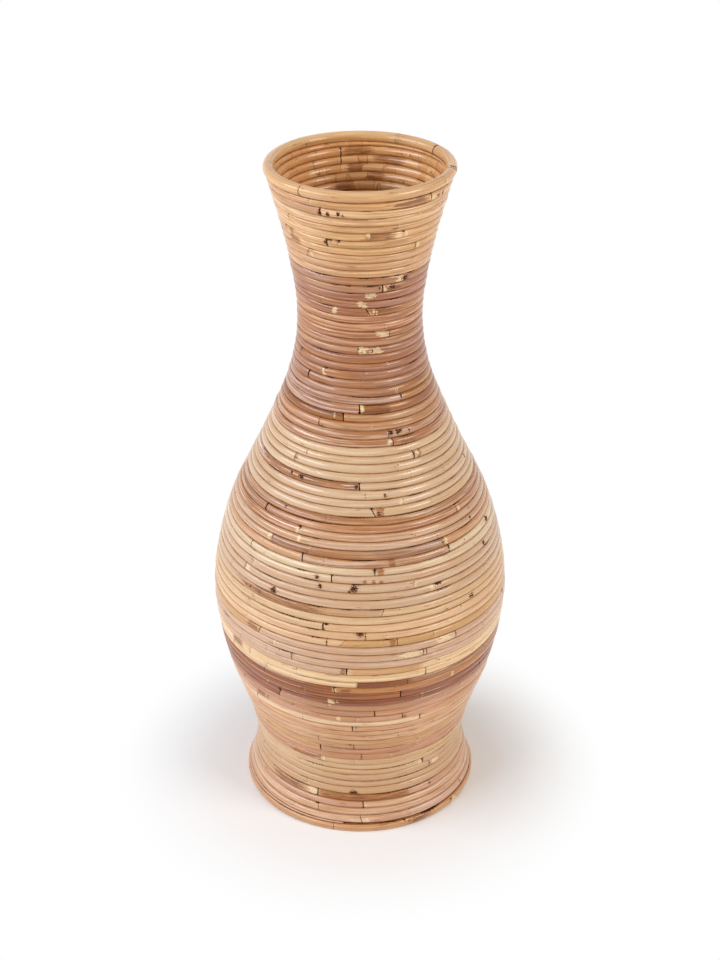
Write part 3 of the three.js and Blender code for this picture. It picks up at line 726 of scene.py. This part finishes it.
finishes = {
    "tan": (tan_finish, "tan_rattan"),
    "straw": (rattan_finish("straw_rattan_lacquered", "bd8a5c", 0.45, "c08a4e"), "straw_rattan"),
    "bark": (rattan_finish("straw_rattan_with_bark", "85502a", 1.2, "a8703f"), "bark_rattan"),
    "brown": (rattan_finish("smoked_rattan_lacquered", "6e3610", 1.0, "98603a"), "brown_rattan"),
    "rosy": (rattan_finish("rosy_rattan_lacquered", "955a36", 1.05, "b87c46"), "rosy_rattan"),
    "golden": (rattan_finish("golden_rattan_lacquered", "a66c36", 0.9, "b87c48"), "golden_rattan"),
    "rim": (rattan_finish("rim_rattan_lacquered", "b57c4c", 0.45, "c08c5a", 0.1), "honey_rattan"),
    "honey": (rattan_finish("honey_rattan_lacquered", "aa764e", 0.75, "d49e6c"), "honey_rattan"),
}


def turn_at(course, degrees):
    """The turn of the spiral at a course and at so many degrees right of the front."""
    return course + (START_ANGLE - degrees) / 360


def tone_of(skin):
    """The skin colour of a cane at any turn: its own, or that of a stretch named in TONES."""
    own = linear(skin)

    def at(turn):
        colour = own
        for course, left, right, code in TONES:
            inside = min(turn - turn_at(course, right), turn_at(course, left) - turn)
            if inside > 0:
                share = min(1.0, inside * TONE_SHARPNESS)
                colour = [a + (b - a) * share for a, b in zip(own, linear(code))]
        return colour

    return at


draw = random.Random(86)
given = []
for course, kind, left, right, centre in FRONT_MARKS:
    turn = turn_at(course, (left + right) / 2)
    half = math.radians((right - left) / 2) * wall_section(turn)[0].x
    given.append((kind, turn, max(0.9, half), math.radians(centre)))
# The wider joints have a dark blot beside them, where a brad went in
for _, _, end, joint, _ in WALL_CANES:
    if joint in ("dark", "slash", "round"):
        blot = math.radians(draw.choice((-55, -35, 35, 55)))
        given.append(("hole", end + draw.uniform(-0.002, 0.002), draw.uniform(0.9, 1.6), blot))
start = first_turn
start_cut = FIRST_CUT
listed_turns = WALL_CANES[-1][2]
for name, tone, listed_end, joint, skin in WALL_CANES:
    end = listed_end * last_turn / listed_turns
    end_cut, next_cut = JOINTS[joint]
    marks = [mark for mark in given if start - 0.005 < mark[1] < end + 0.005]
    per_turn = 2 * math.pi * wall_section((start + end) / 2)[0].x
    turn = start + draw.uniform(*NODE_SPACING) / 2 / per_turn
    while turn < end:
        if all(abs(turn - mark[1]) * per_turn > NODE_CLEARANCE for mark in marks):
            marks.append(("node", turn, 1, draw.uniform(-3, 3)))
        turn += draw.uniform(*NODE_SPACING) / per_turn
    turn = start + draw.uniform(*MARK_SPACING) / per_turn
    while turn < end:
        if abs(math.remainder(START_ANGLE - 360 * turn, 360)) > SEEN:
            kind = draw.choice(("hole", "hole", "scuff", "crack_and_seam_shade", "crack_and_seam_shade", "stain", "bark"))
            size = draw.uniform(1, 2.2) if kind == "hole" else draw.uniform(3, 14)
            side = draw.choice((-80, 80)) if kind == "crack_and_seam_shade" else draw.uniform(-50, 50)
            marks.append((kind, turn, size, math.radians(side)))
        turn += draw.uniform(*MARK_SPACING) / per_turn
    roll_cane(name, start, end, wall_section, (start_cut, end_cut), marks, tone_of(skin),
              (1, 1), *finishes[tone])
    start = end
    start_cut = next_cut


# The rim hoop
# A level ring of thicker cane over the last turn, in four bent lengths that are scarfed or
# butted end to end. It is glued down and carries the same lacquer.
RIM_BOW = 0.2
RIM_FLATNESS = 1.0           # round, since nothing presses on the rim hoop


def rim_section(turn):
    """The section of the rim hoop at a turn, with a slight bow in or out."""
    half = RIM_CANE_THICKNESS / 2
    bow = RIM_BOW * noise.noise(Vector((turn * 5, 15.5, 0)))
    middle = Vector(((RIM_DIAMETER - RIM_CANE_THICKNESS) / 2 + bow, HEIGHT - half))
    return middle, Vector((1, 0)), Vector((0, 1)), half, half, RIM_FLATNESS


hoop((
    ("rim_cane_front", -38, (0.5, 0.6, 0),
     [("node", 60, 1, 2), ("hole", -37.5, 1.5, -50)], "e3b98b"),
    ("rim_cane_left", -86, (0.4, 0.5, 35), [("hole", -77.5, 1.4, -25)], "e4b886"),
    ("rim_cane_back", -239, (0.9, 0.8, 15),
     [("node", -140, 1, 2), ("node", -205, 1, 1), ("hole", -238, 2.4, 60),
      ("hole", -239.5, 2, 120)], "eac290"),
    ("rim_cane_right", -280, (1.0, 0.8, 55),
     [("hole", -279, 2.6, 20), ("hole", -281, 2.2, 80)], "e4b886"),
), rim_section, (1, 0), *finishes["rim"])


# The floor
# A plain pale studio floor. Near the vase it keeps the vase's shadow, and further off it
# runs into the white background.
FLOOR_SIZE = 18.0
SHADOW_ENDS = (0.15, 0.32)   # metres from the axis where the shadow starts and ends its fade


def on_rays(tree, *kinds):
    """1 for a ray of one of the kinds, and 0 for one that only carries light."""
    rays = [add_node(tree, "LightPath", out="Is %s Ray" % kind) for kind in kinds]
    on = rays[0]
    for ray in rays[1:]:
        on = add_node(tree, "Math", (on, ray), operation="MAXIMUM")
    return on


# Matt paper: near the vase it takes the shadow, and beyond that it is plain white
paper, tree = new_finish("white_studio_paper")
place = add_node(tree, "TexCoord", out="Object")
away = add_node(tree, "VectorMath", [place], "Value", operation="LENGTH")
far = add_node(tree, "MapRange", (away, *SHADOW_ENDS), interpolation_type="SMOOTHSTEP")
seen = on_rays(tree, "Camera", "Glossy")
blend = add_node(tree, "Math", (seen, far), operation="MULTIPLY")
matt = add_node(tree, "BsdfDiffuse", [(0.93, 0.93, 0.93, 1)])
glow = add_node(tree, "Emission", ((1, 1, 1, 1), 1.0))
mixed = add_node(tree, "MixShader", (blend, matt, glow))
add_node(tree, "OutputMaterial", [mixed])
sheet = bmesh.new()
bmesh.ops.create_grid(sheet, x_segments=1, y_segments=1, size=FLOOR_SIZE / 2)
studio_floor = new_object("studio_floor", sheet, paper)


# The light
# Two large softboxes and an even pale room. The left one is the stronger, and draws the
# long highlights on the left of the courses. It is a little cooler than the right one.
LAMP_AIM = Vector((0, 0, 0.42))
LAMP_DISTANCE = 4.0
LAMP_TALL = 1.1
ROOM_LIGHT = 0.44            # of the white that the background shows


def softbox(name, azimuth, elevation, width, watts, tint):
    """A rectangular lamp that looks at the middle of the vase, from so many degrees right of
    the front and above the floor."""
    lamp = bpy.data.lights.new(name, "AREA")
    lamp.shape = "RECTANGLE"
    lamp.size = width
    lamp.size_y = LAMP_TALL
    lamp.energy = watts
    lamp.color = tint
    holder = bpy.data.objects.new(name, lamp)
    bpy.context.collection.objects.link(holder)
    side, up = math.radians(azimuth), math.radians(elevation)
    way = Vector((math.sin(side) * math.cos(up), -math.cos(side) * math.cos(up), math.sin(up)))
    holder.location = LAMP_AIM + way * LAMP_DISTANCE
    holder.rotation_euler = way.to_track_quat("Z", "Y").to_euler()


softbox("left_softbox", -70, 28, 3.8, 114, (0.97, 1.02, 1.12))
softbox("right_softbox", 62, 27, 1.8, 70, (1.0, 0.95, 0.87))
room = bpy.data.worlds.new("pale_room")
bpy.context.scene.world = room
room.use_nodes = True
tree = room.node_tree
tree.nodes.clear()
seen = on_rays(tree, "Camera", "Glossy", "Transmission")
level = add_node(tree, "MapRange", {0: seen, 3: ROOM_LIGHT, 4: 1.0})
sky = add_node(tree, "Background", ((1, 1, 1, 1), level))
add_node(tree, "OutputWorld", [sky])


# The camera
# It stands in front of the vase, above its rim, and looks down on it.
CAMERA_PLACE = (0, -1.9194, 1.4616)
CAMERA_DROP = 28.748         # degrees that it looks down
CAMERA_LENS = 70.0
camera = bpy.data.cameras.new("camera")
camera.lens = CAMERA_LENS
camera.sensor_width = 36.0
holder = bpy.data.objects.new("camera", camera)
bpy.context.collection.objects.link(holder)
holder.location = CAMERA_PLACE
holder.rotation_euler = (math.radians(90 - CAMERA_DROP), 0, 0)
bpy.context.scene.camera = holder
bpy.context.scene.view_settings.view_transform = "Standard"
